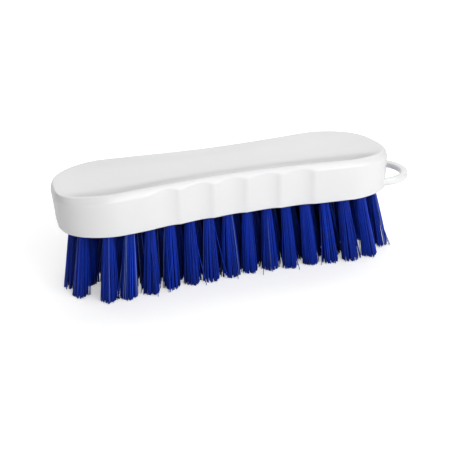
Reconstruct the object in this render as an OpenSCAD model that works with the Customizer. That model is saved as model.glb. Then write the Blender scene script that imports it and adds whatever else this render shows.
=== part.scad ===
// Hand scrub brush: one moulded block with finger flutes and a hanging loop,
// filled with tufts of bristle that wire anchors hold in tilted blind holes.
// The trimmed tips stand on z = 0, +X points to the hanging loop, and y = 0 is the plane of symmetry.
// The origin is at the middle of the whole brush, loop included, so the block lies off it towards -X.

/* [Block] */
// Length of the block, without its hanging loop
block_length = 186; // [176:1:210]
// Width across each of the two lobes
lobe_width = 66; // [62:0.5:74]
// Width across the waist, halfway along the block
waist_width = 55.6; // [51:0.2:60]
// Thickness from the underside to the crest, halfway along
block_thickness = 22.3; // [20:0.1:28]
// Length of each rounded end
end_length = 28.4; // [26:0.2:32]
// Fullness of the rounded ends along the block, where 2 is an ellipse
end_fullness = 1.64; // [1.5:0.02:2]
// Fullness of the rounded ends across the block, where 2 is an ellipse
side_fullness = 3.1; // [2.8:0.1:4]
// Ease with which the waist runs out into the lobes, where 1 is a plain cosine
waist_ease = 0.6; // [0.5:0.05:1]
// How far the walls draw in from the shoulder to the underside
draft = 0.8; // [0.4:0.1:1.5]
// Radius of the lower edge
lower_edge_radius = 0.6; // [0.3:0.1:1]

/* [Shoulder and dish] */
// How far the crest stands in from the wall along the sides
shoulder_inset = 2.8; // [2:0.1:4.5]
// How far the crest stands in from the wall at the ends
shoulder_end_inset = 1.4; // [1:0.1:3]
// Height of the shoulder from the top of the wall to the crest
shoulder_height = 3.8; // [2.5:0.1:5]
// Fullness of the shoulder, where 1 is a straight bevel and 2 is an ellipse
shoulder_fullness = 1.3; // [1.1:0.05:2]
// Depth of the dish in the top, below the crest
dish_depth = 3; // [1:0.1:5]
// How far the crest and the shoulder drop at the end away from the loop
tail_drop = 2.6; // [0:0.1:4]
// How far the crest and the shoulder drop at the end with the loop
loop_end_drop = 1.2; // [0:0.1:4]

/* [Finger flutes] */
// Number of shallow flutes along each side
flute_count = 5; // [3:1:6]
// Distance from one flute to the next
flute_pitch = 18.4; // [15:0.1:19]
// Place of the middle of the flutes along the block, from halfway
flute_middle = -4.8; // [-8:0.2:0]
// Depth of each flute under the shoulder
flute_depth = 1.1; // [0.4:0.1:2]
// Depth of each flute at the underside
flute_foot_depth = 1; // [0.2:0.1:1.5]

/* [Hanging loop] */
// How far the loop stands out beyond the end of the block
loop_reach = 17.3; // [14:0.1:24]
// Width across the outside of the loop, where it leaves the block
loop_width = 40.8; // [34:0.2:44]
// Width of the loop's bar, seen from above
loop_bar_width = 3.9; // [3:0.1:5]
// Thickness of the loop's bar
loop_bar_thickness = 3.9; // [2.6:0.1:5]
// Radius of the edges of the loop's bar
loop_edge_radius = 1.2; // [0.6:0.1:1.3]

/* [Tufts] */
// Free length of the bristle from the underside to the trimmed tips
bristle_trim = 38; // [28:1:45]
// Diameter of each tuft hole
hole_diameter = 5.4; // [4.6:0.1:5.8]
// Depth of each tuft hole along its axis
hole_depth = 14; // [10:0.5:15]
// Nearest distance wanted between the columns of tufts along the block
column_pitch = 10.7; // [10.4:0.1:12]
// Distance from the end of the block to the last column of the outer rows
column_margin = 22.9; // [22:0.1:25]
// Distance from the side of the block to the centres of the outer rows
row_inset = 8.8; // [7.6:0.1:9.4]
// Distance from the end of the block to the centre of the end tuft
end_inset = 8.8; // [8.4:0.1:9.4]
// Distance from the end of the block to the centres of the corner tufts
corner_inset = 10.6; // [10:0.1:11.4]
// Distance from the middle of the block to the corner tufts
corner_offset = 13; // [12:0.1:14]
// How far the whole field of tufts is then set off towards the hanging loop
field_shift = 1; // [0:0.1:1.4]
// Share by which the tips spread along the block, as the holes are tilted
length_flare = 0.07; // [0.04:0.005:0.09]
// Share by which the tips spread across the block
width_flare = 0.03; // [0:0.005:0.06]
// How far all tips are swept towards the hanging loop
tip_sweep = 0.8; // [0:0.1:1.5]

/* [Strands] */
// Number of strands in a tuft
strand_count = 6; // [4:1:6]
// Radius of the ring of strands where they leave the root
root_ring_radius = 1.7; // [1.6:0.05:1.75]
// Radius of the ring of strands at the tips
tip_ring_radius = 3.1; // [2.4:0.1:3.3]
// Radius of a strand at the root
strand_root_radius = 0.8; // [0.5:0.05:0.8]
// Radius of a strand at the tip
strand_tip_radius = 1.15; // [0.7:0.05:1.2]
// Gap between the folded root of a tuft and the wall of its hole
root_clearance = 0.1; // [0.05:0.05:0.2]
// How far the folded root stops short of the hole's mouth
root_recess = 1; // [0.8:0.1:2]

/* [Anchors] */
// Thickness of the flat anchor wire
anchor_thickness = 0.4; // [0.3:0.05:0.6]
// Height of the anchor wire along the hole
anchor_height = 2; // [1.5:0.1:2.5]
// How far each end of the anchor bites into the wall of the hole
anchor_bite = 0.4; // [0.2:0.05:0.6]
// How much bristle is folded over the anchor, measured along the hole
fold_height = 2; // [1.5:0.1:3]
// Gap between the anchor and the bristle folded over it
anchor_clearance = 0.05; // [0.02:0.01:0.1]

/* [Hidden] */
half_length = block_length / 2;
lobe_half = lobe_width / 2;
waist_half = waist_width / 2;
// Where the rounded ends begin, measured from halfway
end_start = half_length - end_length;
// The whole brush is centred on the origin, loop included
centre_shift = -loop_reach / 2;
crest_z = bristle_trim + block_thickness;
wall_height = block_thickness - shoulder_height;
hole_radius = hole_diameter / 2;

// Steps of the block's mesh
end_steps = 9;
flute_steps = 6;
plain_steps = [3, 6];
shoulder_steps = 6;
dish_steps = 7;
edge_steps = 2;
// The first station steps of an end are closer together, where the outline turns fastest
end_step_power = 1.4;
// Share of the outline at which the floor of the dish closes in a flat strip
dish_floor_share = 0.08;

flute_start = flute_middle - flute_count * flute_pitch / 2;
flute_end = flute_start + flute_count * flute_pitch;

// Evenly spaced values from a up to but without b
function spaced(a, b, steps) = [for (i = [0 : steps - 1]) a + (b - a) * i / steps];

// Half the width of the block at x, at the top of the wall
function waist_at(x) = lobe_half - (lobe_half - waist_half)
    * pow(0.5 * (1 + cos(180 * x / end_start)), waist_ease);
function end_at(x) = lobe_half
    * pow(1 - pow((x - end_start) / end_length, end_fullness), 1 / side_fullness);
function half_width(x) = abs(x) <= end_start ? waist_at(x) : end_at(abs(x));
// Half the length of the block at y, at the top of the wall
function half_length_at(y) = end_start
    + end_length * pow(1 - pow(abs(y) / lobe_half, side_fullness), 1 / end_fullness);

// Depth of the flutes at x, from 0 to 1. They deepen slowly and end steeply at a ridge, and the first one
// also starts softly. The two powers give u - u^5 and u^2 - u^3, and a gain brings each to a depth of 1.
function hump(u, first, last) = let (peak = pow(first / last, 1 / (last - first)))
    (pow(u, first) - pow(u, last)) / (pow(peak, first) - pow(peak, last));
function flute_at(x) =
    x <= flute_start || x >= flute_end ? 0
    : let (place = (x - flute_start) / flute_pitch, u = place - floor(place))
      place < 1 ? hump(u, 2, 3) : hump(u, 1, 5);

// How far the crest and the shoulder have dropped at x
drop_power = 6;
function drop_at(x) = (x < 0 ? tail_drop : loop_end_drop) * pow(abs(x) / half_length, drop_power);

// Stations along one side, from the -X end to the +X end. Each is [x, y] for an outline drawn in by inset.
end_angles = [for (i = [1 : end_steps - 1]) 90 * pow(i / end_steps, end_step_power)];
side_places = concat(
    spaced(-end_start, flute_start, plain_steps[0]),
    spaced(flute_start, flute_end, flute_count * flute_steps),
    spaced(flute_end, end_start, plain_steps[1]),
    [end_start]);
function end_point(angle, inset) = [
    end_start + (end_length - inset.x) * pow(cos(angle), 2 / end_fullness),
    (lobe_half - inset.y) * pow(sin(angle), 2 / side_fullness)];
// The side of one level. The flutes cut a wall in full, and the shoulder by what it leaves of them.
function side(inset, cut, is_wall) = concat(
    [for (a = end_angles) let (p = end_point(a, inset)) [-p.x, p.y]],
    [for (x = side_places) let (flute = cut * flute_at(x))
        [x, half_width(x) - (is_wall ? inset.y + flute : max(inset.y, flute))]],
    [for (i = [len(end_angles) - 1 : -1 : 0]) end_point(end_angles[i], inset)]);
// One closed level of the block, seen from above, starting at the -X end. Its inset is [ends, sides].
function level(z, inset, cut, is_wall) =
    let (s = side(inset, cut, is_wall), tip = half_length - inset.x,
         outline = concat([[-tip, 0]], [for (p = s) [p.x, -p.y]], [[tip, 0]],
                          [for (i = [len(s) - 1 : -1 : 0]) s[i]]))
    [for (p = outline) [p.x, p.y, is_wall ? z : z - drop_at(p.x)]];
// A level of the dish is drawn in towards the line that joins the centres of the two lobes
function drawn_in(points, share, z) = [for (p = points)
    let (middle = max(-end_start, min(end_start, p.x)), x = middle + (p.x - middle) * share)
    [x, p.y * share, z - drop_at(x)]];

wall_foot = bristle_trim + lower_edge_radius;
wall_top = bristle_trim + wall_height;
crest_inset = [shoulder_end_inset, shoulder_inset];
crest = level(crest_z, crest_inset, 0, false);
block_levels = concat(
    [for (i = [0 : edge_steps]) let (a = 90 * i / edge_steps)
        level(wall_foot - lower_edge_radius * cos(a), [1, 1] * (draft + lower_edge_radius * (1 - sin(a))),
              flute_foot_depth, true)],
    [for (i = [0 : shoulder_steps - 1]) let (a = 90 * i / shoulder_steps, power = 2 / shoulder_fullness)
        level(wall_top + shoulder_height * pow(sin(a), power),
              crest_inset * (1 - pow(cos(a), power)), flute_depth, false)],
    [crest],
    [for (i = [1 : dish_steps]) let (share = 1 - (1 - dish_floor_share) * i / dish_steps)
        drawn_in(crest, share, crest_z - dish_depth * (1 - share * share))]);

// A closed skin through rings of equal length, and flat ends zipped from one side to the other
function skin_faces(rings, count) = [for (r = [0 : rings - 2], i = [0 : count - 1])
    let (a = r * count + i, b = r * count + (i + 1) % count)
    each [[a, b + count, b], [a, a + count, b + count]]];
function zip_faces(first, count, up) = [for (i = [1 : count / 2 - 1])
    let (a = first + i, b = first + count - i)
    each [
        if (i < count / 2 - 1) up ? [a, a + 1, b] : [a, b, a + 1],
        if (i < count / 2 - 1) up ? [a + 1, b - 1, b] : [a + 1, b, b - 1],
        if (i == 1) up ? [first, a, b] : [first, b, a],
        if (i == count / 2 - 1) up ? [a, a + 1, b] : [a, b, a + 1]]];

module block_body() {
    count = len(crest);
    rings = len(block_levels);
    polyhedron(
        points = [for (ring = block_levels) each ring],
        faces = concat(skin_faces(rings, count),
                       zip_faces(0, count, false),
                       zip_faces((rings - 1) * count, count, true)));
}

// The loop's bar is swept flat along a D that starts inside the block
loop_steps = 24;
loop_lead = 2.8;
loop_rooting = 6;
loop_power = 0.9;
loop_rise = 0.2;
loop_corner_steps = 3;
function loop_point(a) = [
    half_length - loop_lead + (loop_reach + loop_lead - loop_bar_width / 2) * pow(cos(a), loop_power),
    (loop_width - loop_bar_width) / 2 * sin(a)];
loop_path = concat(
    [[half_length - loop_rooting, -(loop_width - loop_bar_width) / 2]],
    [for (i = [1 : loop_steps - 1]) loop_point(-90 + 180 * i / loop_steps)],
    [[half_length - loop_rooting, (loop_width - loop_bar_width) / 2]]);
loop_section = [for (corner = [0 : 3], i = [0 : loop_corner_steps - 1])
    let (a = 90 * corner + 90 * i / (loop_corner_steps - 1), c = 90 * corner + 45,
         across = loop_bar_width / 2 - loop_edge_radius, up = loop_bar_thickness / 2 - loop_edge_radius)
    [across * sign(cos(c)) + loop_edge_radius * cos(a),
     loop_bar_thickness / 2 + up * sign(sin(c)) + loop_edge_radius * sin(a)]];
function outward(path, i) =
    let (along = path[min(i + 1, len(path) - 1)] - path[max(i - 1, 0)]) [along.y, -along.x] / norm(along);

module loop() {
    count = len(loop_section);
    rings = len(loop_path);
    translate([0, 0, bristle_trim + loop_rise])
        polyhedron(
            points = [for (i = [0 : rings - 1], s = loop_section)
                let (p = loop_path[i] + s[0] * outward(loop_path, i)) [p.x, p.y, s[1]]],
            faces = concat(
                [for (f = skin_faces(rings, count)) [f[0], f[2], f[1]]],
                [for (i = [1 : count - 2]) [0, i, i + 1]],
                [for (i = [1 : count - 2]) let (last = (rings - 1) * count) [last, last + i + 1, last + i]]));
}

// Columns of tufts along the block, with the inner rows set halfway between the columns of the outer ones.
// The middle row runs on past them by one tuft, and an end tuft and two corner tufts close each end.
column_span = block_length - 2 * column_margin;
column_count = floor(column_span / column_pitch) + 1;
column_step = column_span / (column_count - 1);
function column_x(i) = field_shift - column_span / 2 + column_step * i;
function row_y(x) = half_width(x) - row_inset;
corner_x = half_length_at(corner_offset) - corner_inset;
function end_tufts(sense) = [
    [field_shift + sense * (column_span + column_step) / 2, 0],
    [field_shift + sense * corner_x, -corner_offset],
    [field_shift + sense * corner_x, corner_offset],
    [field_shift + sense * (half_length - end_inset), 0]];
// The roots of the tufts of one cross row. Row 0 is the -X end, and the last row takes in the +X end.
function row_roots(row) =
    row == 0 ? end_tufts(-1)
    : let (x = column_x(row - 1), between = x + column_step / 2) concat(
        [[x, -row_y(x)], [x, row_y(x)]],
        row < column_count ? [for (j = [-1 : 1]) [between, j * row_y(between) / 2]] : end_tufts(1));
function tip_of(root) = [root.x * (1 + length_flare) + tip_sweep, root.y * (1 + width_flare)];

// Puts its children on the axis of the hole at root, with z = 0 at the mouth and +Z into the block
module in_hole(root) {
    lean = root - tip_of(root);
    turn = atan2(lean.y, lean.x);
    translate([root.x, root.y, bristle_trim])
        rotate([0, atan2(norm(lean), bristle_trim), turn])
            rotate([0, 0, -turn])
                children();
}

fold_top = hole_depth - root_clearance;
anchor_length = hole_diameter + 2 * anchor_bite;
hole_sides = 48;
fold_sides = 6;
// How far the cutters run out of the face that they cut
overrun = 3;

module anchor(gap) {
    translate([-anchor_length / 2, -anchor_thickness / 2 - gap, fold_top - fold_height - anchor_height - gap])
        cube([anchor_length, anchor_thickness + 2 * gap, anchor_height + 2 * gap]);
}

module hole() {
    translate([0, 0, -overrun])
        cylinder(r = hole_radius, h = hole_depth + overrun, $fn = hole_sides);
    anchor(0);
}

// The folded root of a tuft, six-sided, with a slit for its anchor
module folded_root() {
    difference() {
        translate([0, 0, root_recess])
            rotate([0, 0, 180 / fold_sides])
                cylinder(r = hole_radius - root_clearance, h = fold_top - root_recess, $fn = fold_sides);
        anchor(anchor_clearance);
    }
}

// A three-sided strand in level rings from inside the root, through one bend, to the trimmed tip.
// The root of the strand stands inside the folded root, on the axis of the hole.
strand_sides = 3;
strand_sink = 1.4;
bend_share = 0.5;
bend_ring_share = 0.38;
function along_tuft(root, share) = root + (tip_of(root) - root) * share;
function strand_ring(root, angle, share, ring_radius, radius) =
    let (centre = along_tuft(root, share) + ring_radius * [cos(angle), sin(angle)])
    [for (k = [0 : strand_sides - 1]) let (a = angle + 360 * k / strand_sides)
        [centre.x + radius * cos(a), centre.y + radius * sin(a), bristle_trim * (1 - share)]];

module strand(root, angle) {
    sink_share = -(root_recess + strand_sink) / bristle_trim;
    bend_ring = root_ring_radius + (tip_ring_radius - root_ring_radius) * bend_ring_share;
    polyhedron(
        points = concat(
            strand_ring(root, angle, 1, tip_ring_radius, strand_tip_radius),
            strand_ring(root, angle, bend_share, bend_ring, (strand_root_radius + strand_tip_radius) / 2),
            strand_ring(root, angle, sink_share, root_ring_radius, strand_root_radius)),
        faces = concat(
            skin_faces(3, strand_sides),
            [[for (k = [0 : strand_sides - 1]) k]],
            [[for (k = [strand_sides - 1 : -1 : 0]) 2 * strand_sides + k]]));
}

// One tuft: its strands grow out of the folded root
module tuft(root, first_angle) {
    union() {
        in_hole(root) folded_root();
        for (k = [0 : strand_count - 1])
            strand(root, first_angle + 360 * k / strand_count);
    }
}

tuft_turn_angle = 29;
module tuft_row(row) {
    color([0.06, 0.16, 0.59])
        translate([centre_shift, 0, 0])
            for (i = [0 : len(row_roots(row)) - 1])
                tuft(row_roots(row)[i], tuft_turn_angle * (row + 2 * i));
}

module anchor_row(row) {
    color([0.72, 0.73, 0.75])
        translate([centre_shift, 0, 0])
            for (root = row_roots(row))
                in_hole(root) anchor(0);
}

module block() {
    color([0.93, 0.93, 0.92])
        translate([centre_shift, 0, 0])
            difference() {
                union() {
                    block_body();
                    loop();
                }
                for (row = [0 : column_count], root = row_roots(row))
                    in_hole(root) hole();
            }
}

function row_name(kind, row) = str(kind, "_", row < 10 ? "0" : "", row);

block();
for (row = [0 : column_count]) {
    tuft_row(row);
    anchor_row(row);
}
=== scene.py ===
"""A hand scrub brush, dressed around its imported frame.

The block and its hanging loop are one glossy polypropylene moulding with blind holes in its underside,
the tufts are drawn polyester filament, and the anchors inside are flat stainless wire.
Lengths are metres. The trimmed tips stand on z = 0, and +X points to the hanging loop.
"""

import math

import bmesh
import bpy
import numpy as np
from bpy.props import FloatProperty, FloatVectorProperty, IntProperty, PointerProperty
from mathutils import Matrix, Vector


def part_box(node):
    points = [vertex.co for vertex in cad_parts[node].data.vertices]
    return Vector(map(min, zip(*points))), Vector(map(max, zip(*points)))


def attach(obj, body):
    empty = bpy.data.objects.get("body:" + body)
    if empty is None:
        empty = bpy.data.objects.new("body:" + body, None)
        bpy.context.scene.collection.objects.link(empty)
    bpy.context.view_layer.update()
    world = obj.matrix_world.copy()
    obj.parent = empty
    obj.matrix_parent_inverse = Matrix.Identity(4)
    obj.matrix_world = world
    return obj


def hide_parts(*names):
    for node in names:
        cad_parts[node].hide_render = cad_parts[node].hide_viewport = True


bl_info = {
    "name": "Scrub Brush",
    "version": (1, 0, 0),
    "blender": (4, 5, 0),
    "location": "3D View > Sidebar > Scrub Brush",
    "description": "Builds the block, tufts and studio of a hand scrub brush around its packed frame",
    "category": "Object",
}

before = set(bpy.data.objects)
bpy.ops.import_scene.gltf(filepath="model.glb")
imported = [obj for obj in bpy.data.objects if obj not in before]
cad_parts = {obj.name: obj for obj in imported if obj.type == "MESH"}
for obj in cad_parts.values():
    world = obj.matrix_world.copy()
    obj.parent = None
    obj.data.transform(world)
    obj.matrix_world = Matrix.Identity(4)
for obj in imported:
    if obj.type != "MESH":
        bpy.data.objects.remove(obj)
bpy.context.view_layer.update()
BLOCK_LOW, BLOCK_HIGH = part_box("block")
MM = 0.001
BODY = "root"
TUFT_NODES = sorted(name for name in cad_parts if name.startswith("tufts_"))
ANCHOR_NODES = sorted(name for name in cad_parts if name.startswith("anchors_"))
LOOP_REACH = 17.3 * MM

MATH = "ShaderNodeMath"
VECTOR_MATH = "ShaderNodeVectorMath"

# Steps along a filament, sides round it, and the most filaments that a tuft may have
FILAMENT_STEPS = 9
FILAMENT_SIDES = 5
MOST_FILAMENTS = 1000

# How the filaments lie in a tuft. Scatter, reach and clumps are in tuft radii, and turns are in radians.
SUNK_SHARE = 0.26
OWN_TONE_SHARE = 0.4
SPREAD_POWER = 0.92
STRAY_POWER = 1.6
TRIM_POWER = 3
TIP_SCATTER = 0.04
DIAMOND_REACH = 1.2
CLUMPS_TO_A_RADIUS = 1.6
CLUMP_SPACE = (7.3, 3.1, 0)
TUFT_START_TURN = 1.7
TUFT_TWIST = 0.35
GOLDEN_ANGLE = math.pi * (3 - math.sqrt(5))
TUFT_LEAN = 0.9 * MM
FILAMENT_BOW = 0.7 * MM
TIP_CLEARANCE = 0.1 * MM

# How splayed the tufts are, and what splay does, as factors from the least splayed tuft to the most
SPLAY_POWER = 3
CLUMPING_BY_SPLAY = (0.3, 1)
WIDTH_BY_SPLAY = (0.93, 1.15)
# A splayed tuft has more filaments with a painted glint, a pale highlight painted into their colour
PAINTED_GLINTS_BY_SPLAY = (0.4, 2.9)


def linear(code):
    """The linear colour of an sRGB hex value such as #f2f2ee."""
    parts = [int(code[i:i + 2], 16) / 255 for i in (1, 3, 5)]
    return [c / 12.92 if c <= 0.04045 else ((c + 0.055) / 1.055) ** 2.4 for c in parts]


def length(name, description, metres):
    return FloatProperty(name=name, description=description, default=metres, unit="LENGTH", precision=5)


def share(name, description, value):
    return FloatProperty(name=name, description=description, default=value)


def colour(name, description, code):
    return FloatVectorProperty(name=name, description=description, default=linear(code), subtype="COLOR")


class BlockSettings(bpy.types.PropertyGroup):
    """Sizes and colour of the moulded block and its hanging loop."""

    block_length: length("Length", "Length of the block without its loop",
                         BLOCK_HIGH.x - BLOCK_LOW.x - LOOP_REACH)
    lobe_width: length("Lobe width", "Width across each of the two lobes", BLOCK_HIGH.y - BLOCK_LOW.y)
    waist_width: length("Waist width", "Width across the waist", 55.6 * MM)
    thickness: length("Thickness", "Thickness from the underside to the crest, halfway along",
                      BLOCK_HIGH.z - BLOCK_LOW.z)
    end_length: length("End length", "Length of each rounded end", 28.4 * MM)
    end_fullness: share("End fullness", "Fullness of the ends along the block", 1.64)
    side_fullness: share("Side fullness", "Fullness of the ends across the block", 3.1)
    waist_ease: share("Waist ease", "Ease with which the waist runs into the lobes", 0.6)
    draft: length("Draft", "How far the walls draw in to the underside", 0.8 * MM)
    lower_edge_radius: length("Lower edge", "Radius of the lower edge", 0.6 * MM)
    shoulder_inset: length("Shoulder inset", "How far the crest stands in along the sides", 2.8 * MM)
    shoulder_end_inset: length("Shoulder end inset", "How far the crest stands in at the ends", 1.4 * MM)
    shoulder_height: length("Shoulder height", "Height of the shoulder", 3.8 * MM)
    shoulder_fullness: share("Shoulder fullness", "1 is a bevel and 2 an ellipse", 1.3)
    crest_ease: length("Crest ease", "How far the rounding lowers the crest", 0.3 * MM)
    dish_depth: length("Dish depth", "Depth of the dish below the crest", 3 * MM)
    tail_drop: length("Tail drop", "Drop of the crest at the end away from the loop", 2.6 * MM)
    loop_end_drop: length("Loop end drop", "Drop of the crest at the end with the loop", 1.2 * MM)
    flute_count: IntProperty(name="Flutes", description="Number of flutes along each side", default=5)
    flute_pitch: length("Flute pitch", "Distance from one flute to the next", 18.4 * MM)
    flute_middle: length("Flute middle", "Middle of the flutes, from halfway along", -4.8 * MM)
    flute_depth: length("Flute depth", "Depth of a flute under the shoulder", 1.1 * MM)
    flute_foot_depth: length("Flute foot depth", "Depth of a flute at the underside", 1 * MM)
    loop_reach: length("Loop reach", "How far the loop stands out beyond the end", LOOP_REACH)
    loop_width: length("Loop width", "Width across the outside of the loop", 40.8 * MM)
    loop_bar_width: length("Loop bar width", "Width of the loop's bar from above", 3.9 * MM)
    loop_bar_thickness: length("Loop bar thickness", "Thickness of the loop's bar", 3.9 * MM)
    loop_edge_radius: length("Loop edge radius", "Radius of the edges of the bar", 1.2 * MM)
    block_colour: colour("Block colour", "Colour of the polypropylene", "#f3f3f4")


class TuftSettings(bpy.types.PropertyGroup):
    """Layout of the tufts, and sizes and colour of their filament."""

    hole_diameter: length("Hole diameter", "Diameter of each tuft hole", 5.4 * MM)
    hole_depth: length("Hole depth", "Depth of each tuft hole", 14 * MM)
    column_pitch: length("Column pitch", "Nearest distance wanted between columns", 10.7 * MM)
    column_margin: length("Column margin", "From the end of the block to the last column", 22.9 * MM)
    row_inset: length("Row inset", "From the side of the block to the outer rows", 8.8 * MM)
    end_inset: length("End inset", "From the end of the block to the end tuft", 8.8 * MM)
    corner_inset: length("Corner inset", "From the end of the block to the corner tufts", 10.6 * MM)
    corner_offset: length("Corner offset", "From the middle to the corner tufts", 13 * MM)
    field_shift: length("Field shift", "How far all tufts are set off towards the loop", 1 * MM)
    length_flare: share("Length flare", "Share by which the tips spread along the block", 0.07)
    width_flare: share("Width flare", "Share by which the tips spread across the block", 0.03)
    tip_sweep: length("Tip sweep", "How far all tips are swept towards the loop", 0.8 * MM)
    filament_count: IntProperty(name="Filaments", description="Ends of filament in a tuft", default=165)
    filament_radius: length("Filament radius", "Radius of a filament", 0.2 * MM)
    root_radius: length("Root radius", "Radius of a tuft where it leaves its hole", 2.45 * MM)
    tip_radius: length("Tip radius", "Radius of a tuft at its tips", 4.8 * MM)
    inner_spread: share("Inner spread", "Share by which the inner tufts are wider at their tips", 0.35)
    clumping: share("Clumping", "Share by which filaments draw together at the tips", 0.5)
    trim_scatter: length("Trim scatter", "How far the shortest tips fall short", 0.55 * MM)
    stray_share: share("Stray share", "Share of filaments that stray from their tuft", 0.012)
    stray_reach: length("Stray reach", "How far a stray filament leaves its tuft", 5 * MM)
    # Painted highlight: this share of the filaments is coloured a pale glint blue
    painted_glint_share: share("Painted glint share", "Share of filaments that are scuffed pale", 0.026)
    seed: IntProperty(name="Seed", description="Seed of the scatter", default=4)
    filament_colour: colour("Filament colour", "Colour of the polyester filament", "#0634b8")
    # The colour of the painted glint
    painted_glint_colour: colour("Painted glint colour", "Colour of a scuffed filament", "#6c81d4")


class StudioSettings(bpy.types.PropertyGroup):
    """Place, turn and field of view of the camera."""

    yaw: FloatProperty(name="Yaw", description="Turn of the camera round the brush",
                       default=math.radians(16.36), subtype="ANGLE")
    elevation: FloatProperty(name="Elevation", description="Height of the camera above the brush",
                             default=math.radians(22.21), subtype="ANGLE")
    roll: FloatProperty(name="Roll", description="Turn of the camera about its own axis",
                        default=math.radians(-2.75), subtype="ANGLE")
    distance: length("Distance", "Distance from the camera to its target", 445.5 * MM)
    field_of_view: FloatProperty(name="Field of view", description="Across the square picture",
                                 default=math.radians(31.77), subtype="ANGLE")
    target_shift: length("Target shift", "From the middle of the block to the target, along X", -0.46 * MM)
    target_drop: length("Target drop", "From the crest down to the target", 38.7 * MM)


def soft_min(a, b, ease):
    """The smaller of two heights, with the corner between them rounded."""
    return (a + b) / 2 - np.sqrt(((a - b) / 2) ** 2 + ease ** 2)


def hump(u, first, last):
    """u to the power first less u to the power last, brought to a height of 1."""
    peak = (first / last) ** (1 / (last - first))
    return (u ** first - u ** last) / (peak ** first - peak ** last)


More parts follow.
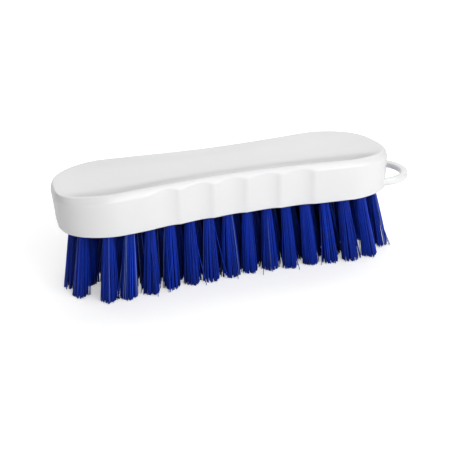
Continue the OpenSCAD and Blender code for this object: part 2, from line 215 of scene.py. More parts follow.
class BlockForm:
    """The outline, levels and tuft holes of the block, about the middle of the block."""

    end_steps = 24
    flute_steps = 14
    plain_steps = (9, 18)
    edge_steps = 4
    wall_steps = 6
    shoulder_steps = 20
    dish_steps = 34
    end_step_power = 1.4
    dish_step_power = 1.5
    dish_floor_share = 0.02
    ridge_ease = 0.12 * MM
    drop_power = 6
    first_flute_powers = (2, 3)
    flute_powers = (1, 5)
    loop_lead = 2.8 * MM
    loop_fullness = 0.9
    inner_row_insets = 1.5

    def __init__(self, block, tufts):
        self.block, self.tufts = block, tufts
        self.half_length = block.block_length / 2
        self.lobe_half = block.lobe_width / 2
        self.end_start = self.half_length - block.end_length
        self.middle_x = BLOCK_LOW.x + self.half_length
        self.underside = BLOCK_LOW.z
        self.flute_start = block.flute_middle - block.flute_count * block.flute_pitch / 2
        self.flute_end = self.flute_start + block.flute_count * block.flute_pitch

    def half_width(self, x):
        """Half the width of the block at x, at the top of the wall."""
        b = self.block
        waist = self.lobe_half - (self.lobe_half - b.waist_width / 2) * (
            0.5 * (1 + np.cos(np.pi * np.clip(x / self.end_start, -1, 1)))) ** b.waist_ease
        past = np.clip((np.abs(x) - self.end_start) / b.end_length, 0, 1)
        end = self.lobe_half * (1 - past ** b.end_fullness) ** (1 / b.side_fullness)
        return np.where(np.abs(x) <= self.end_start, waist, end)

    def half_length_at(self, y):
        """Half the length of the block at y, at the top of the wall."""
        b = self.block
        return self.end_start + b.end_length * (
            1 - (abs(y) / self.lobe_half) ** b.side_fullness) ** (1 / b.end_fullness)

    def flute(self, x):
        """Depth of the flutes at x, from 0 to 1. They deepen slowly and end steeply at a ridge,
        and the first one also starts softly."""
        place = (x - self.flute_start) / self.block.flute_pitch
        u = place - np.floor(place)
        depth = np.where(place < 1, hump(u, *self.first_flute_powers), hump(u, *self.flute_powers))
        return np.where((x <= self.flute_start) | (x >= self.flute_end), 0, depth)

    def drop(self, x):
        """How far the crest and the shoulder have dropped at x."""
        b = self.block
        full = np.where(x < 0, b.tail_drop, b.loop_end_drop)
        return full * (np.abs(x) / self.half_length) ** self.drop_power

    def side(self, inset, flute_depth, is_wall):
        """Points along one side, from the -X end to the +X end, drawn in by inset at the ends and the sides,
        and cut by the flutes."""
        b = self.block
        at_ends, at_sides = inset
        angles = np.radians(90 * (np.arange(1, self.end_steps) / self.end_steps) ** self.end_step_power)
        end_x = self.end_start + (b.end_length - at_ends) * np.cos(angles) ** (2 / b.end_fullness)
        end_y = (self.lobe_half - at_sides) * np.sin(angles) ** (2 / b.side_fullness)
        places = np.concatenate([
            np.linspace(-self.end_start, self.flute_start, self.plain_steps[0], endpoint=False),
            np.linspace(self.flute_start, self.flute_end, b.flute_count * self.flute_steps, endpoint=False),
            np.linspace(self.flute_end, self.end_start, self.plain_steps[1] + 1)])
        cut = flute_depth * self.flute(places)
        if is_wall:
            in_from_wall = at_sides + cut
        else:
            ease = np.minimum(self.ridge_ease, np.sqrt(at_sides * cut) / 2)
            in_from_wall = -soft_min(-at_sides, -cut, ease)
        x = np.concatenate([-end_x, places, end_x[::-1]])
        y = np.concatenate([end_y, self.half_width(places) - in_from_wall, end_y[::-1]])
        return np.stack([x, y], axis=1)

    def level(self, z, inset, flute_depth, is_wall):
        """One closed level of the block, seen from above, starting at the -X end."""
        side = self.side(inset, flute_depth, is_wall)
        tip = self.half_length - inset[0]
        ring = np.concatenate([[(-tip, 0)], side * (1, -1), [(tip, 0)], side[::-1]])
        heights = np.full(len(ring), z) if is_wall else z - self.drop(ring[:, 0])
        return np.column_stack([ring, heights])

    def wall_levels(self, foot, wall_top):
        """The rounded lower edge, and the drafted wall above it."""
        b = self.block
        rings = []
        for i in range(self.edge_steps):
            a = math.pi / 2 * i / self.edge_steps
            inset = b.draft + b.lower_edge_radius * (1 - math.sin(a))
            rings.append(self.level(foot - b.lower_edge_radius * math.cos(a), (inset, inset),
                                    b.flute_foot_depth, True))
        for i in range(self.wall_steps):
            up = i / self.wall_steps
            flute_depth = b.flute_foot_depth + (b.flute_depth - b.flute_foot_depth) * up
            rings.append(self.level(foot + (wall_top - foot) * up, (b.draft * (1 - up),) * 2,
                                    flute_depth, True))
        return rings

    def shoulder_levels(self, wall_top, crest_z, crest_inset):
        """The shoulder, from the top of the wall to the crest."""
        b = self.block
        power = 2 / b.shoulder_fullness
        rim_slope = 2 * b.dish_depth / (self.lobe_half - b.shoulder_inset)
        rings = []
        for i in range(self.shoulder_steps):
            a = math.pi / 2 * i / self.shoulder_steps
            part = 1 - math.cos(a) ** power
            rise = wall_top + b.shoulder_height * math.sin(a) ** power
            fall = crest_z + rim_slope * b.shoulder_inset * (1 - part)
            rings.append(self.level(soft_min(rise, fall, b.crest_ease * part), crest_inset * part,
                                    b.flute_depth, False))
        return rings

    def dish_levels(self, crest_z, crest_inset):
        """The dish, from the crest to the middle line of the top."""
        b = self.block
        shoulder_slope = b.shoulder_height / b.shoulder_inset / 2
        crest = self.level(0, crest_inset, 0, True)
        centre_line = np.clip(crest[:, 0], -self.end_start, self.end_start)
        rings = []
        for i in range(self.dish_steps + 1):
            part = 1 - (1 - self.dish_floor_share) * (i / self.dish_steps) ** self.dish_step_power
            ring = crest.copy()
            ring[:, 0] = centre_line + (crest[:, 0] - centre_line) * part
            ring[:, 1] *= part
            fall = crest_z - b.dish_depth * (1 - part * part)
            rise = crest_z + shoulder_slope * (1 - part) * self.lobe_half
            ring[:, 2] = soft_min(rise, fall, b.crest_ease) - self.drop(ring[:, 0])
            rings.append(ring)
        return rings

    def levels(self):
        """All levels, from the underside round the shoulder and down into the dish.
        The crest is where the shoulder and the dish meet, and it is rounded by soft_min."""
        b = self.block
        foot = self.underside + b.lower_edge_radius
        crest_z = self.underside + b.thickness
        wall_top = crest_z - b.shoulder_height
        crest_inset = np.array((b.shoulder_end_inset, b.shoulder_inset))
        rings = np.array(self.wall_levels(foot, wall_top)
                         + self.shoulder_levels(wall_top, crest_z, crest_inset)
                         + self.dish_levels(crest_z, crest_inset))
        rings[:, :, 0] += self.middle_x
        return rings

    def loop_point(self, angle):
        """The middle line of the hanging loop's bar, which runs along a D from inside the block."""
        b = self.block
        reach = b.loop_reach + self.loop_lead - b.loop_bar_width / 2
        root_x = self.middle_x + self.half_length - self.loop_lead
        return (root_x + reach * math.cos(angle) ** self.loop_fullness,
                (b.loop_width - b.loop_bar_width) / 2 * math.sin(angle))

    def tuft_rows(self):
        """The roots of the tufts of each cross row, in the order of the tuft nodes."""
        t = self.tufts
        span = self.block.block_length - 2 * t.column_margin
        gaps = math.floor(span / t.column_pitch)
        step = span / gaps

        def row_y(x):
            return float(self.half_width(np.array(x))) - t.row_inset

        def end_tufts(sense):
            inner_x = t.field_shift + sense * (span + step) / 2
            corner_x = t.field_shift + sense * (self.half_length_at(t.corner_offset) - t.corner_inset)
            end_x = t.field_shift + sense * (self.half_length - t.end_inset)
            return [(inner_x, 0), (corner_x, -t.corner_offset), (corner_x, t.corner_offset), (end_x, 0)]

        rows = [end_tufts(-1)]
        for i in range(gaps + 1):
            x = t.field_shift - span / 2 + step * i
            between = x + step / 2
            row = [(x, -row_y(x)), (x, row_y(x))]
            if i < gaps:
                row += [(between, j * row_y(between) / 2) for j in (-1, 0, 1)]
            else:
                row += end_tufts(1)
            rows.append(row)
        return rows

    def fullness(self, root):
        """How much wider a tuft is at its tips. The tufts inside the field have spread wider with use."""
        x, y = root
        inner_edge = self.half_width(x) - self.inner_row_insets * self.tufts.row_inset
        is_inner = abs(y) < inner_edge and abs(x) < self.end_start
        return 1 + self.tufts.inner_spread * is_inner

    def root_and_tip(self, root):
        """The mouth of a tuft's hole, and the middle of its trimmed tips on z = 0."""
        t = self.tufts
        tip = Vector((root[0] * (1 + t.length_flare) + t.tip_sweep, root[1] * (1 + t.width_flare), 0))
        shift = Vector((self.middle_x, 0, 0))
        return Vector((*root, self.underside)) + shift, tip + shift


def add(tree, kind, inputs=None, **settings):
    """Adds a node to a tree, with its settings and inputs. An input is a value, a socket, or a node,
    which stands for its first output."""
    node = tree.nodes.new(kind)
    for name, value in settings.items():
        setattr(node, name, value)
    for key, value in (inputs or {}).items():
        if isinstance(value, bpy.types.Node):
            value = value.outputs[0]
        if isinstance(value, bpy.types.NodeSocket):
            tree.links.new(value, node.inputs[key])
        else:
            node.inputs[key].default_value = value
    return node


def new_material(name):
    """An empty node material and its output node."""
    material = bpy.data.materials.new(name)
    material.use_nodes = True
    material.node_tree.nodes.clear()
    return material, add(material.node_tree, "ShaderNodeOutputMaterial")


def moulded_polypropylene(block):
    """Injection-moulded polypropylene, white and glossy: a soft highlight over a faint waviness and a fine
    grain, and a little light carried under the surface, as in any unfilled white polypropylene."""
    material, output = new_material("moulded polypropylene")
    tree = material.node_tree
    place = add(tree, "ShaderNodeTexCoord").outputs["Object"]
    wave_length = 16.7 * MM
    grain_size = 1.11 * MM
    waviness = add(tree, "ShaderNodeTexNoise", {"Vector": place, "Scale": 1 / wave_length, "Detail": 2})
    grain = add(tree, "ShaderNodeTexNoise", {"Vector": place, "Scale": 1 / grain_size, "Detail": 3})
    haze = add(tree, "ShaderNodeMapRange", {"Value": waviness, "From Min": 0.3, "From Max": 0.7,
                                            "To Min": 0.14, "To Max": 0.20})
    duller = [c * 0.98 for c in block.block_colour]
    base = add(tree, "ShaderNodeMix", {"Factor": waviness, 6: (*block.block_colour, 1),
                                       7: (*duller, 1)}, data_type="RGBA")
    bump = add(tree, "ShaderNodeBump", {"Height": grain, "Strength": 0.05, "Distance": 0.05 * MM})
    shader = add(tree, "ShaderNodeBsdfPrincipled", {
        "Base Color": base.outputs[2], "Roughness": haze, "IOR": 1.49, "Subsurface Weight": 0.12,
        "Subsurface Radius": (1.0, 0.95, 0.9), "Subsurface Scale": 1.2 * MM, "Normal": bump})
    tree.links.new(shader.outputs["BSDF"], output.inputs["Surface"])
    return material


def drawn_polyester(tufts):
    """Drawn polyester filament, dyed royal blue in the melt: a satin line of light runs along each filament,
    no two take the light alike, a few carry a painted pale glint, and shade is painted in between the tufts."""
    material, output = new_material("drawn polyester filament")
    tree = material.node_tree
    tone = add(tree, "ShaderNodeAttribute", attribute_name="tone")
    dark = [c * 0.55 for c in tufts.filament_colour]
    light = [min(1, c * 1.5) for c in tufts.filament_colour]
    base = add(tree, "ShaderNodeMix", {"Factor": tone.outputs["Fac"], 6: (*dark, 1), 7: (*light, 1)},
               data_type="RGBA")
    # Painted highlight: a tone above 1 turns a filament to the pale glint colour
    painted_glint = add(tree, "ShaderNodeMapRange", {"Value": tone.outputs["Fac"], "From Min": 1, "From Max": 1.4,
                                             "To Min": 0, "To Max": 1})
    glinting = add(tree, "ShaderNodeMix", {"Factor": painted_glint, 6: base.outputs[2],
                                          7: (*tufts.painted_glint_colour, 1)}, data_type="RGBA")
    # Painted shade: the colour darkens towards black where ambient occlusion finds filaments close around,
    # between the tufts and under the block.
    open_air = add(tree, "ShaderNodeAmbientOcclusion", {"Distance": 12 * MM}, samples=4)
    depth = add(tree, "ShaderNodeMapRange", {"Value": open_air.outputs["AO"], "From Min": 0.1,
                                             "From Max": 0.52, "To Min": 0.03, "To Max": 0.95})
    shaded = add(tree, "ShaderNodeMix", {"Factor": depth, 6: (0, 0, 0, 1), 7: glinting.outputs[2]},
                 data_type="RGBA")
    rough = add(tree, "ShaderNodeMapRange", {"Value": tone.outputs["Fac"], "To Min": 0.45, "To Max": 0.3})
    shader = add(tree, "ShaderNodeBsdfPrincipled", {
        "Base Color": shaded.outputs[2], "Roughness": rough, "IOR": 1.57, "Specular IOR Level": 0.2})
    tree.links.new(shader.outputs["BSDF"], output.inputs["Surface"])
    return material


def stainless_wire():
    """Cold-rolled stainless wire: grey, bright along the rolling lines."""
    material, output = new_material("rolled stainless wire")
    tree = material.node_tree
    place = add(tree, "ShaderNodeTexCoord").outputs["Object"]
    line_length = 5 * MM
    line_width = 0.167 * MM
    stretched = add(tree, "ShaderNodeMapping", {"Vector": place,
                                                "Scale": (1 / line_length, 1 / line_width, 1 / line_width)})
    lines = add(tree, "ShaderNodeTexNoise", {"Vector": stretched, "Scale": 1, "Detail": 2})
    rough = add(tree, "ShaderNodeMapRange", {"Value": lines, "To Min": 0.25, "To Max": 0.45})
    shader = add(tree, "ShaderNodeBsdfPrincipled", {
        "Base Color": (*linear("#b9babd"), 1), "Metallic": 1.0, "Roughness": rough})
    tree.links.new(shader.outputs["BSDF"], output.inputs["Surface"])
    return material


def white_sweep():
    """The studio's white paper. It is matt, and lit a little for the camera alone, more so away from
    the brush, so that it is white there and still holds the brush's shadow."""
    material, output = new_material("white paper")
    tree = material.node_tree
    path = add(tree, "ShaderNodeLightPath")
    away = add(tree, VECTOR_MATH, {0: add(tree, "ShaderNodeNewGeometry")}, operation="LENGTH")
    level = add(tree, "ShaderNodeMapRange", {"Value": away.outputs["Value"], "From Min": 0.15,
                                             "From Max": 0.8, "To Min": 0.38, "To Max": 0.97})
    lift = add(tree, MATH, {0: path.outputs["Is Camera Ray"], 1: level}, operation="MULTIPLY")
    shader = add(tree, "ShaderNodeBsdfPrincipled", {
        "Base Color": (*linear("#f4f4f3"), 1), "Roughness": 0.9, "Specular IOR Level": 0.1,
        "Emission Color": (1, 1, 1, 1), "Emission Strength": lift})
    tree.links.new(shader.outputs["BSDF"], output.inputs["Surface"])
    return material


def mesh_object(name, vertices, faces):
    mesh = bpy.data.meshes.new(name)
    mesh.from_pydata([tuple(v) for v in vertices], [], faces)
    mesh.update()
    thing = bpy.data.objects.new(name, mesh)
    bpy.context.scene.collection.objects.link(thing)
    return thing


def bake(thing):
    """Turns an object and its modifiers into one plain mesh."""
    evaluated = thing.evaluated_get(bpy.context.evaluated_depsgraph_get())
    mesh = bpy.data.meshes.new_from_object(evaluated)
    thing.modifiers.clear()
    old = thing.data
    thing.data = mesh
    bpy.data.meshes.remove(old)
    mesh.name = thing.name
    return mesh


def combine(thing, other, operation):
    """Joins other to thing, or cuts it out of thing, and takes other away."""
    modifier = thing.modifiers.new(operation.lower(), "BOOLEAN")
    modifier.operation = operation
    modifier.solver = "EXACT"
    modifier.object = other
    bake(thing)
    bpy.data.objects.remove(other)


def ring_skin(rings, count):
    """Quads round rings of equal length, wound to face outwards where the rings run anticlockwise upwards."""
    return [(r * count + i, r * count + (i + 1) % count,
             (r + 1) * count + (i + 1) % count, (r + 1) * count + i)
            for r in range(rings - 1) for i in range(count)]


def block_body(form):
    """The block without its loop and holes, as one closed mesh."""
    rings = form.levels()
    count = rings.shape[1]
    faces = ring_skin(len(rings), count)
    faces.append(tuple(range(count - 1, -1, -1)))
    top = (len(rings) - 1) * count
    for i in range(count // 2):
        a, b = top + i, top + i + 1
        c, d = top + count - i - 1, top + (count - i) % count
        faces.append(tuple(dict.fromkeys((a, b, c, d))))
    return mesh_object("block_body", rings.reshape(-1, 3), faces)


def loop_tree(block):
    """Geometry Nodes that sweep the rounded bar of the hanging loop along its D."""
    tree = bpy.data.node_groups.new("hanging loop", "GeometryNodeTree")
    tree.interface.new_socket("Geometry", in_out="INPUT", socket_type="NodeSocketGeometry")
    for name, value in (("Bar width", block.loop_bar_width), ("Bar thickness", block.loop_bar_thickness),
                        ("Edge radius", block.loop_edge_radius)):
        socket = tree.interface.new_socket(name, in_out="INPUT", socket_type="NodeSocketFloat")
        socket.default_value = value
    tree.interface.new_socket("Geometry", in_out="OUTPUT", socket_type="NodeSocketGeometry")
    given = add(tree, "NodeGroupInput").outputs
    bar = add(tree, "GeometryNodeCurvePrimitiveQuadrilateral",
              {"Width": given["Bar width"], "Height": given["Bar thickness"]})
    rounded = add(tree, "GeometryNodeFilletCurve",
                  {"Curve": bar, "Radius": given["Edge radius"], "Count": 8}, mode="POLY")
    path = add(tree, "GeometryNodeMeshToCurve", {"Mesh": given["Geometry"]})
    level = add(tree, "GeometryNodeSetCurveNormal", {"Curve": path}, mode="Z_UP")
    swept = add(tree, "GeometryNodeCurveToMesh",
                {"Curve": level, "Profile Curve": rounded, "Fill Caps": True})
    smooth = add(tree, "GeometryNodeSetShadeSmooth", {0: swept})
    real = add(tree, "GeometryNodeRealizeInstances", {"Geometry": smooth})
    add(tree, "NodeGroupOutput", {0: real})
    return tree


def hanging_loop(form):
    """The loop's bar as a closed mesh, rooted inside the end of the block, a hair above its underside."""
    b = form.block
    steps = 72
    rooting = 6 * MM
    underside_step = 0.2 * MM
    side = (b.loop_width - b.loop_bar_width) / 2
    start_x = form.middle_x + form.half_length - rooting
    points = [(start_x, -side)]
    points += [form.loop_point(math.radians(-90 + 180 * i / steps)) for i in range(1, steps)]
    points.append((start_x, side))
    height = form.underside + underside_step + b.loop_bar_thickness / 2
    thing = mesh_object("loop", [(x, y, height) for x, y in points], [])
    bm = bmesh.new()
    bm.from_mesh(thing.data)
    bm.verts.ensure_lookup_table()
    for i in range(len(points) - 1):
        bm.edges.new((bm.verts[i], bm.verts[i + 1]))
    bm.to_mesh(thing.data)
    bm.free()
    modifier = thing.modifiers.new("sweep", "NODES")
    modifier.node_group = loop_tree(b)
    bake(thing)
    return thing


def hole_cutter(form):
    """All tuft holes as one mesh: tilted cylinders with a small chamfer at the mouth."""
    t = form.tufts
    sides = 32
    chamfer = 0.3 * MM
    overrun = 1 * MM
    radius = t.hole_diameter / 2
    profile = ((-overrun, radius + chamfer + overrun), (0, radius + chamfer), (chamfer, radius),
               (t.hole_depth, radius))
    vertices, faces = [], []
    for row in form.tuft_rows():
        for root in row:
            mouth, tip = form.root_and_tip(root)
            turn = (mouth - tip).to_track_quat("Z", "Y")
            first = len(vertices)
            for height, reach in profile:
                for i in range(sides):
                    a = 2 * math.pi * i / sides
                    vertices.append(mouth + turn @ Vector((reach * math.cos(a), reach * math.sin(a), height)))
            faces += [tuple(first + v for v in face) for face in ring_skin(len(profile), sides)]
            faces.append(tuple(first + i for i in range(sides - 1, -1, -1)))
            faces.append(tuple(first + (len(profile) - 1) * sides + i for i in range(sides)))
    return mesh_object("holes", vertices, faces)


def filament_inputs(tree, tufts):
    """Names the inputs of the filaments' node group, and gives its sockets for them."""
    tree.interface.new_socket("Geometry", in_out="INPUT", socket_type="NodeSocketGeometry")
    for name, kind, value in (
            ("Tufts", "NodeSocketInt", 1),
            ("Filaments", "NodeSocketInt", tufts.filament_count),
            ("Steps", "NodeSocketInt", FILAMENT_STEPS),
            ("Filament radius", "NodeSocketFloat", tufts.filament_radius),
            ("Root radius", "NodeSocketFloat", tufts.root_radius),
            ("Tip radius", "NodeSocketFloat", tufts.tip_radius),
            ("Clumping", "NodeSocketFloat", tufts.clumping),
            ("Trim scatter", "NodeSocketFloat", tufts.trim_scatter),
            ("Stray share", "NodeSocketFloat", tufts.stray_share),
            ("Stray reach", "NodeSocketFloat", tufts.stray_reach),
            # The share of filaments given a painted glint
            ("Painted glint share", "NodeSocketFloat", tufts.painted_glint_share),
            ("Seed", "NodeSocketInt", tufts.seed)):
        socket = tree.interface.new_socket(name, in_out="INPUT", socket_type=kind)
        socket.default_value = value
    tree.interface.new_socket("Geometry", in_out="OUTPUT", socket_type="NodeSocketGeometry")
    return add(tree, "NodeGroupInput").outputs


def filament_numbers(tree, given):
    """The step, filament and tuft that each point belongs to, and what the mouth of its hole holds."""
    index = add(tree, "GeometryNodeInputIndex")
    step = add(tree, MATH, {0: index, 1: given["Steps"]}, operation="MODULO")
    counted = [index]
    for size in ("Steps", "Filaments"):
        middle = add(tree, MATH, {0: counted[-1], 1: 0.5}, operation="ADD")
        share_of_size = add(tree, MATH, {0: middle, 1: given[size]}, operation="DIVIDE")
        counted.append(add(tree, MATH, {0: share_of_size}, operation="FLOOR"))
    filament, tuft = counted[1:]
    number = add(tree, MATH, {0: filament, 1: given["Filaments"]}, operation="MODULO")

    held = {"root": (add(tree, "GeometryNodeInputPosition"), "FLOAT_VECTOR")}
    for name, kind in (("tip", "FLOAT_VECTOR"), ("tuft", "INT"), ("fullness", "FLOAT")):
        held[name] = (add(tree, "GeometryNodeInputNamedAttribute", {"Name": name}, data_type=kind), kind)
    mouth = {name: add(tree, "GeometryNodeSampleIndex",
                       {"Geometry": given["Geometry"], "Value": value, "Index": tuft}, data_type=kind)
             for name, (value, kind) in held.items()}
    before = add(tree, MATH, {0: mouth["tuft"], 1: MOST_FILAMENTS}, operation="MULTIPLY")
    mouth["filament"] = add(tree, MATH, {0: before, 1: number}, operation="ADD")
    return step, filament, number, mouth


def filament_chances(tree, given, mouth):
    """Random numbers and random ways across the tuft, each with its own seed."""
    chances = {}
    for name, low, high, owner, offset in (
            ("straying", 0, 1, "filament", 4), ("trim", 0, 1, "filament", 7), ("tone", 0, 1, "filament", 8),
            ("splay", 0, 1, "tuft", 9), ("twist", -TUFT_TWIST, TUFT_TWIST, "tuft", 10),
            # The chance that gives a filament its painted glint
            ("painted_glint", 0, 1, "filament", 11)):
        seed = add(tree, MATH, {0: given["Seed"], 1: offset}, operation="ADD")
        chances[name] = add(tree, "FunctionNodeRandomValue",
                            {2: low, 3: high, "ID": mouth[owner], "Seed": seed}, data_type="FLOAT").outputs[1]
    for name, reach, owner, offset in (
            ("tip shift", TIP_SCATTER, "filament", 1), ("lean", TUFT_LEAN, "tuft", 3),
            ("stray way", given["Stray reach"], "filament", 5), ("bow", FILAMENT_BOW, "filament", 6)):
        seed = add(tree, MATH, {0: given["Seed"], 1: offset}, operation="ADD")
        way = add(tree, "FunctionNodeRandomValue", {0: (-1, -1, 0), 1: (1, 1, 0), "ID": mouth[owner],
                                                    "Seed": seed}, data_type="FLOAT_VECTOR")
        chances[name] = add(tree, VECTOR_MATH, {0: way, "Scale": reach}, operation="SCALE")
    chances["splay"] = add(tree, MATH, {0: chances["splay"], 1: SPLAY_POWER}, operation="POWER")
    return chances


def by_splay(tree, chances, low, high):
    """A value that runs from low to high with the splay of its tuft."""
    return add(tree, MATH, {0: chances["splay"], 1: high - low, 2: low}, operation="MULTIPLY_ADD")


def tuft_sections(tree, given, number, mouth, chances):
    """Where each filament lies in the section of its tuft, at the root and at the tip, in tuft radii.
    The root is a disc, and the tips are a turned diamond that draws together in clumps."""
    start = add(tree, MATH, {0: mouth["tuft"], 1: TUFT_START_TURN}, operation="MULTIPLY")
    angle = add(tree, MATH, {0: number, 1: GOLDEN_ANGLE, 2: start}, operation="MULTIPLY_ADD")
    middle = add(tree, MATH, {0: number, 1: 0.5}, operation="ADD")
    area = add(tree, MATH, {0: middle, 1: given["Filaments"]}, operation="DIVIDE")
    radius = add(tree, MATH, {0: area}, operation="SQRT")
    around = add(tree, "ShaderNodeCombineXYZ", {0: add(tree, MATH, {0: angle}, operation="COSINE"),
                                                1: add(tree, MATH, {0: angle}, operation="SINE")})
    disc = add(tree, VECTOR_MATH, {0: around, "Scale": radius}, operation="SCALE")

    turned = add(tree, MATH, {0: angle, 1: chances["twist"]}, operation="ADD")
    sides = [add(tree, MATH, {0: add(tree, MATH, {0: turned}, operation=way)}, operation="ABSOLUTE")
             for way in ("COSINE", "SINE")]
    girth = add(tree, MATH, {0: sides[0], 1: sides[1]}, operation="ADD")
    reach = add(tree, MATH, {0: DIAMOND_REACH, 1: girth}, operation="DIVIDE")
    diamond = add(tree, VECTOR_MATH, {0: disc, "Scale": reach}, operation="SCALE")

    own_space = add(tree, VECTOR_MATH, {0: CLUMP_SPACE, "Scale": mouth["tuft"]}, operation="SCALE")
    spaced = add(tree, VECTOR_MATH, {0: disc, 1: own_space}, operation="ADD")
    cells = add(tree, "ShaderNodeTexVoronoi", {"Vector": spaced, "Scale": CLUMPS_TO_A_RADIUS},
                voronoi_dimensions="2D").outputs["Position"]
    cell = add(tree, VECTOR_MATH, {0: cells, 1: own_space}, operation="SUBTRACT")
    clumpy = by_splay(tree, chances, *CLUMPING_BY_SPLAY)
    clumping = add(tree, MATH, {0: given["Clumping"], 1: clumpy}, operation="MULTIPLY")
    clumped = add(tree, "ShaderNodeMix", {"Factor": clumping, 4: diamond, 5: cell}, data_type="VECTOR")
    tips = add(tree, VECTOR_MATH, {0: clumped.outputs[1], 1: chances["tip shift"]}, operation="ADD")
    return disc, tips, cells


def filament_places(tree, given, step, mouth, chances, disc, tips):
    """The place of each point along its filament, from inside the hole to the trimmed tips."""
    last = add(tree, MATH, {0: given["Steps"], 1: 1}, operation="SUBTRACT")
    along = add(tree, MATH, {0: step, 1: last}, operation="DIVIDE")
    grown = add(tree, MATH, {0: along, 1: 1 + SUNK_SHARE}, operation="MULTIPLY")
    out = add(tree, MATH, {0: grown, 1: SUNK_SHARE}, operation="SUBTRACT")
    free = add(tree, MATH, {0: out, 1: 0}, operation="MAXIMUM")
    axis = add(tree, "ShaderNodeMix", {"Factor": out, 4: mouth["root"], 5: mouth["tip"]},
               data_type="VECTOR", clamp_factor=False)

    fuller = add(tree, MATH, {0: given["Tip radius"], 1: mouth["fullness"]}, operation="MULTIPLY")
    splayed = by_splay(tree, chances, *WIDTH_BY_SPLAY)
    tip_radius = add(tree, MATH, {0: fuller, 1: splayed}, operation="MULTIPLY")
    spread = add(tree, MATH, {0: free, 1: SPREAD_POWER}, operation="POWER")
    section = add(tree, "ShaderNodeMix", {
        "Factor": spread,
        4: add(tree, VECTOR_MATH, {0: disc, "Scale": given["Root radius"]}, operation="SCALE"),
        5: add(tree, VECTOR_MATH, {0: tips, "Scale": tip_radius}, operation="SCALE")}, data_type="VECTOR")

    lean = add(tree, VECTOR_MATH, {0: chances["lean"], "Scale": free}, operation="SCALE")
    is_stray = add(tree, MATH, {0: chances["straying"], 1: given["Stray share"]}, operation="LESS_THAN")
    strayed = add(tree, MATH, {0: free, 1: STRAY_POWER}, operation="POWER")
    stray_out = add(tree, MATH, {0: is_stray, 1: strayed}, operation="MULTIPLY")
    stray = add(tree, VECTOR_MATH, {0: chances["stray way"], "Scale": stray_out}, operation="SCALE")
    left = add(tree, MATH, {0: 1, 1: free}, operation="SUBTRACT")
    bow_out = add(tree, MATH, {0: free, 1: left}, operation="MULTIPLY")
    bow = add(tree, VECTOR_MATH, {0: chances["bow"], "Scale": bow_out}, operation="SCALE")
    short = add(tree, MATH, {0: chances["trim"], 1: TRIM_POWER}, operation="POWER")
    trim = add(tree, MATH, {0: short, 1: given["Trim scatter"], 2: TIP_CLEARANCE}, operation="MULTIPLY_ADD")
    lift = add(tree, "ShaderNodeCombineXYZ", {2: add(tree, MATH, {0: trim, 1: free}, operation="MULTIPLY")})
    place = axis.outputs[1]
    for part in (section.outputs[1], lean, stray, bow, lift):
        place = add(tree, VECTOR_MATH, {0: place, 1: part}, operation="ADD")
    return place


def filament_tone_and_glint(tree, given, chances, cells):
    """The tone of each filament: 0 is dark and 1 light, with 1 more where a filament carries a painted glint.
    """
    clump = add(tree, "ShaderNodeTexWhiteNoise", {"Vector": cells}, noise_dimensions="2D").outputs["Value"]
    apart = add(tree, MATH, {0: chances["tone"], 1: clump}, operation="SUBTRACT")
    plain = add(tree, MATH, {0: apart, 1: OWN_TONE_SHARE, 2: clump}, operation="MULTIPLY_ADD")
    # Painted highlight: a share of the filaments, more in splayed tufts, get 1 added to their tone
    painted_glint_gain = by_splay(tree, chances, *PAINTED_GLINTS_BY_SPLAY)
    painted_glint_odds = add(tree, MATH, {0: given["Painted glint share"], 1: painted_glint_gain}, operation="MULTIPLY")
    is_painted_glint = add(tree, MATH, {0: chances["painted_glint"], 1: painted_glint_odds}, operation="LESS_THAN")
    return add(tree, MATH, {0: plain, 1: is_painted_glint}, operation="ADD")


def filament_tree(tufts, material):
    """Geometry Nodes that grow the filaments of tufts. Each point given is the mouth of a hole, and its
    attributes are tip (the middle of the tuft's tips), tuft (its number) and fullness (a factor of width)."""
    tree = bpy.data.node_groups.new("filaments", "GeometryNodeTree")
    given = filament_inputs(tree, tufts)
    step, filament, number, mouth = filament_numbers(tree, given)
    chances = filament_chances(tree, given, mouth)
    disc, tips, cells = tuft_sections(tree, given, number, mouth, chances)
    place = filament_places(tree, given, step, mouth, chances, disc, tips)

    all_filaments = add(tree, MATH, {0: given["Tufts"], 1: given["Filaments"]}, operation="MULTIPLY")
    count = add(tree, MATH, {0: all_filaments, 1: given["Steps"]}, operation="MULTIPLY")
    points = add(tree, "GeometryNodePoints", {"Count": count, "Position": place})
    toned = add(tree, "GeometryNodeStoreNamedAttribute",
                {"Geometry": points, "Name": "tone", "Value": filament_tone_and_glint(tree, given, chances, cells)},
                data_type="FLOAT", domain="POINT")
    curves = add(tree, "GeometryNodePointsToCurves", {"Points": toned, "Curve Group ID": filament})
    section = add(tree, "GeometryNodeCurvePrimitiveCircle",
                  {"Resolution": FILAMENT_SIDES, "Radius": given["Filament radius"]})
    swept = add(tree, "GeometryNodeCurveToMesh",
                {"Curve": curves, "Profile Curve": section, "Fill Caps": True})
    smooth = add(tree, "GeometryNodeSetShadeSmooth", {0: swept})
    real = add(tree, "GeometryNodeRealizeInstances", {"Geometry": smooth})
    dressed = add(tree, "GeometryNodeSetMaterial", {"Geometry": real, "Material": material})
    add(tree, "NodeGroupOutput", {0: dressed})
    return tree


def grow_row(form, node, roots, first_tuft, tree):
    """The filaments of one cross row of tufts, which stand for that row's node."""
    thing = mesh_object(node.replace("tufts", "bristle_row"), [form.root_and_tip(r)[0] for r in roots], [])
    attributes = thing.data.attributes
    attributes.new("tip", "FLOAT_VECTOR", "POINT")
    attributes.new("tuft", "INT", "POINT")
    attributes.new("fullness", "FLOAT", "POINT")
    for i, root in enumerate(roots):
        attributes["tip"].data[i].vector = form.root_and_tip(root)[1]
        attributes["tuft"].data[i].value = first_tuft + i
        attributes["fullness"].data[i].value = form.fullness(root)
    modifier = thing.modifiers.new("filaments", "NODES")
    modifier.node_group = tree
    sockets = {item.name: item.identifier for item in tree.interface.items_tree if item.in_out == "INPUT"}
    modifier[sockets["Tufts"]] = len(roots)
    bake(thing)
    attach(thing, BODY)
    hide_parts(node)


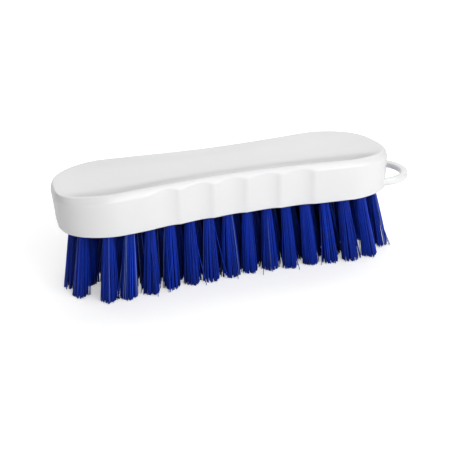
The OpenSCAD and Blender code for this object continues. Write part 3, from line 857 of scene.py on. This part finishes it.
class SCRUB_BRUSH_OT_studio(bpy.types.Operator):
    """Sets up the white paper, the lights and the camera"""

    bl_idname = "scrub_brush.studio"
    bl_label = "Studio"

    def execute(self, context):
        studio = context.scene.scrub_studio
        form = BlockForm(context.scene.scrub_block, context.scene.scrub_tufts)
        half = 4
        corners = [(-half, -half, 0), (half, -half, 0), (half, half, 0), (-half, half, 0)]
        paper = mesh_object("paper", corners, [(0, 1, 2, 3)])
        paper.data.materials.append(white_sweep())
        target = Vector((form.middle_x + studio.target_shift, 0, BLOCK_HIGH.z - studio.target_drop))
        self.camera(context, studio, target)
        self.light("front", target, 8, 40, (0.9, 0.7), 4.0)
        self.light("high front", target, 8, 65, (1.0, 0.8), 2.6)
        self.light("low front", target, 34, 15, (0.4, 0.4), 2.7)
        self.light("front strip", target, 20, 30, (1.8, 0.08), 4.2)
        self.light("left", target, -90, 30, (0.8, 0.8), 1.3)
        self.light("low back", target, 164, 22, (2.4, 0.6), 4.1)
        self.light("high back", target, 164, 58, (2.4, 0.8), 8.3)
        self.world(context)
        context.scene.view_settings.view_transform = "Standard"
        return {"FINISHED"}

    def camera(self, context, studio, target):
        yaw, up, roll = studio.yaw, studio.elevation, studio.roll
        ahead = Vector((math.sin(yaw) * math.cos(up), math.cos(yaw) * math.cos(up), -math.sin(up)))
        right = Vector((math.cos(yaw), -math.sin(yaw), 0))
        above = right.cross(ahead)
        rolled_right = math.cos(roll) * right + math.sin(roll) * above
        rolled_above = -math.sin(roll) * right + math.cos(roll) * above
        data = bpy.data.cameras.new("camera")
        data.sensor_fit = "HORIZONTAL"
        data.angle = studio.field_of_view
        data.clip_start = 0.01
        camera = bpy.data.objects.new("camera", data)
        context.scene.collection.objects.link(camera)
        turn = Matrix((rolled_right, rolled_above, -ahead)).transposed().to_4x4()
        camera.matrix_world = Matrix.Translation(target - ahead * studio.distance) @ turn
        context.scene.camera = camera

    def light(self, name, target, azimuth, elevation, size, power):
        """A softbox, given as its width and height. It stands in front of the brush at azimuth 0,
        and off its loop end at azimuth 90."""
        distance = 1.2
        a, e = math.radians(azimuth), math.radians(elevation)
        data = bpy.data.lights.new(name, "AREA")
        data.shape = "RECTANGLE"
        data.size, data.size_y = size
        data.energy = power
        lamp = bpy.data.objects.new(name, data)
        bpy.context.scene.collection.objects.link(lamp)
        away = Vector((math.sin(a) * math.cos(e), -math.cos(a) * math.cos(e), math.sin(e)))
        lamp.location = target + away * distance
        lamp.rotation_euler = away.to_track_quat("Z", "Y").to_euler()

    def world(self, context):
        world = bpy.data.worlds.new("white room")
        context.scene.world = world
        world.use_nodes = True
        tree = world.node_tree
        tree.nodes.clear()
        path = add(tree, "ShaderNodeLightPath")
        room = add(tree, "ShaderNodeBackground", {"Color": (1, 1, 1, 1),
                                                  "Strength": path.outputs["Is Camera Ray"]})
        add(tree, "ShaderNodeOutputWorld", {"Surface": room})


class SCRUB_BRUSH_OT_block(bpy.types.Operator):
    """Moulds the block with its hanging loop and tuft holes"""

    bl_idname = "scrub_brush.block"
    bl_label = "Block and hanging loop"

    def execute(self, context):
        form = BlockForm(context.scene.scrub_block, context.scene.scrub_tufts)
        block = block_body(form)
        combine(block, hanging_loop(form), "UNION")
        combine(block, hole_cutter(form), "DIFFERENCE")
        block.name = "moulded_block"
        mesh = block.data
        mesh.materials.clear()
        mesh.materials.append(moulded_polypropylene(context.scene.scrub_block))
        downward, tolerance, sharp_angle = -0.9999, 1e-6, math.radians(35)
        for face in mesh.polygons:
            is_underside = face.normal.z < downward and face.center.z < form.underside + tolerance
            face.material_index = 0
            face.use_smooth = not is_underside
        mesh.set_sharp_from_angle(angle=sharp_angle)
        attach(block, BODY)
        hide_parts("block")
        return {"FINISHED"}


class SCRUB_BRUSH_OT_tufts(bpy.types.Operator):
    """Grows the filaments of every tuft"""

    bl_idname = "scrub_brush.tufts"
    bl_label = "Tufts"

    def execute(self, context):
        tufts = context.scene.scrub_tufts
        form = BlockForm(context.scene.scrub_block, tufts)
        rows = form.tuft_rows()
        if len(rows) != len(TUFT_NODES):
            raise RuntimeError(f"{len(rows)} rows of tufts are laid out for {len(TUFT_NODES)} nodes")
        tree = filament_tree(tufts, drawn_polyester(tufts))
        first_tuft = 0
        for node, roots in zip(TUFT_NODES, rows):
            grow_row(form, node, roots, first_tuft, tree)
            first_tuft += len(roots)
        return {"FINISHED"}


class SCRUB_BRUSH_OT_anchors(bpy.types.Operator):
    """Gives the anchor wires their finish"""

    bl_idname = "scrub_brush.anchors"
    bl_label = "Anchor wires"

    def execute(self, context):
        wire = stainless_wire()
        for name in ANCHOR_NODES:
            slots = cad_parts[name].data.materials
            slots.clear()
            slots.append(wire)
        return {"FINISHED"}


class SCRUB_BRUSH_PT_panel(bpy.types.Panel):
    """Lists the steps that build the brush"""

    bl_idname = "SCRUB_BRUSH_PT_panel"
    bl_label = "Scrub Brush"
    bl_space_type = "VIEW_3D"
    bl_region_type = "UI"
    bl_category = "Scrub Brush"

    def draw(self, context):
        for operator in OPERATORS:
            self.layout.operator(operator.bl_idname)


OPERATORS = (SCRUB_BRUSH_OT_studio, SCRUB_BRUSH_OT_block, SCRUB_BRUSH_OT_tufts, SCRUB_BRUSH_OT_anchors)
SETTINGS = {"scrub_block": BlockSettings, "scrub_tufts": TuftSettings, "scrub_studio": StudioSettings}


def register():
    for kind in (*SETTINGS.values(), *OPERATORS, SCRUB_BRUSH_PT_panel):
        bpy.utils.register_class(kind)
    for name, kind in SETTINGS.items():
        setattr(bpy.types.Scene, name, PointerProperty(type=kind))


def unregister():
    for name in SETTINGS:
        delattr(bpy.types.Scene, name)
    for kind in (SCRUB_BRUSH_PT_panel, *reversed(OPERATORS), *reversed(SETTINGS.values())):
        bpy.utils.unregister_class(kind)


def main():
    register()
    bpy.ops.scrub_brush.studio()
    bpy.ops.scrub_brush.block()
    bpy.ops.scrub_brush.tufts()
    bpy.ops.scrub_brush.anchors()


if __name__ == "__main__":
    main()
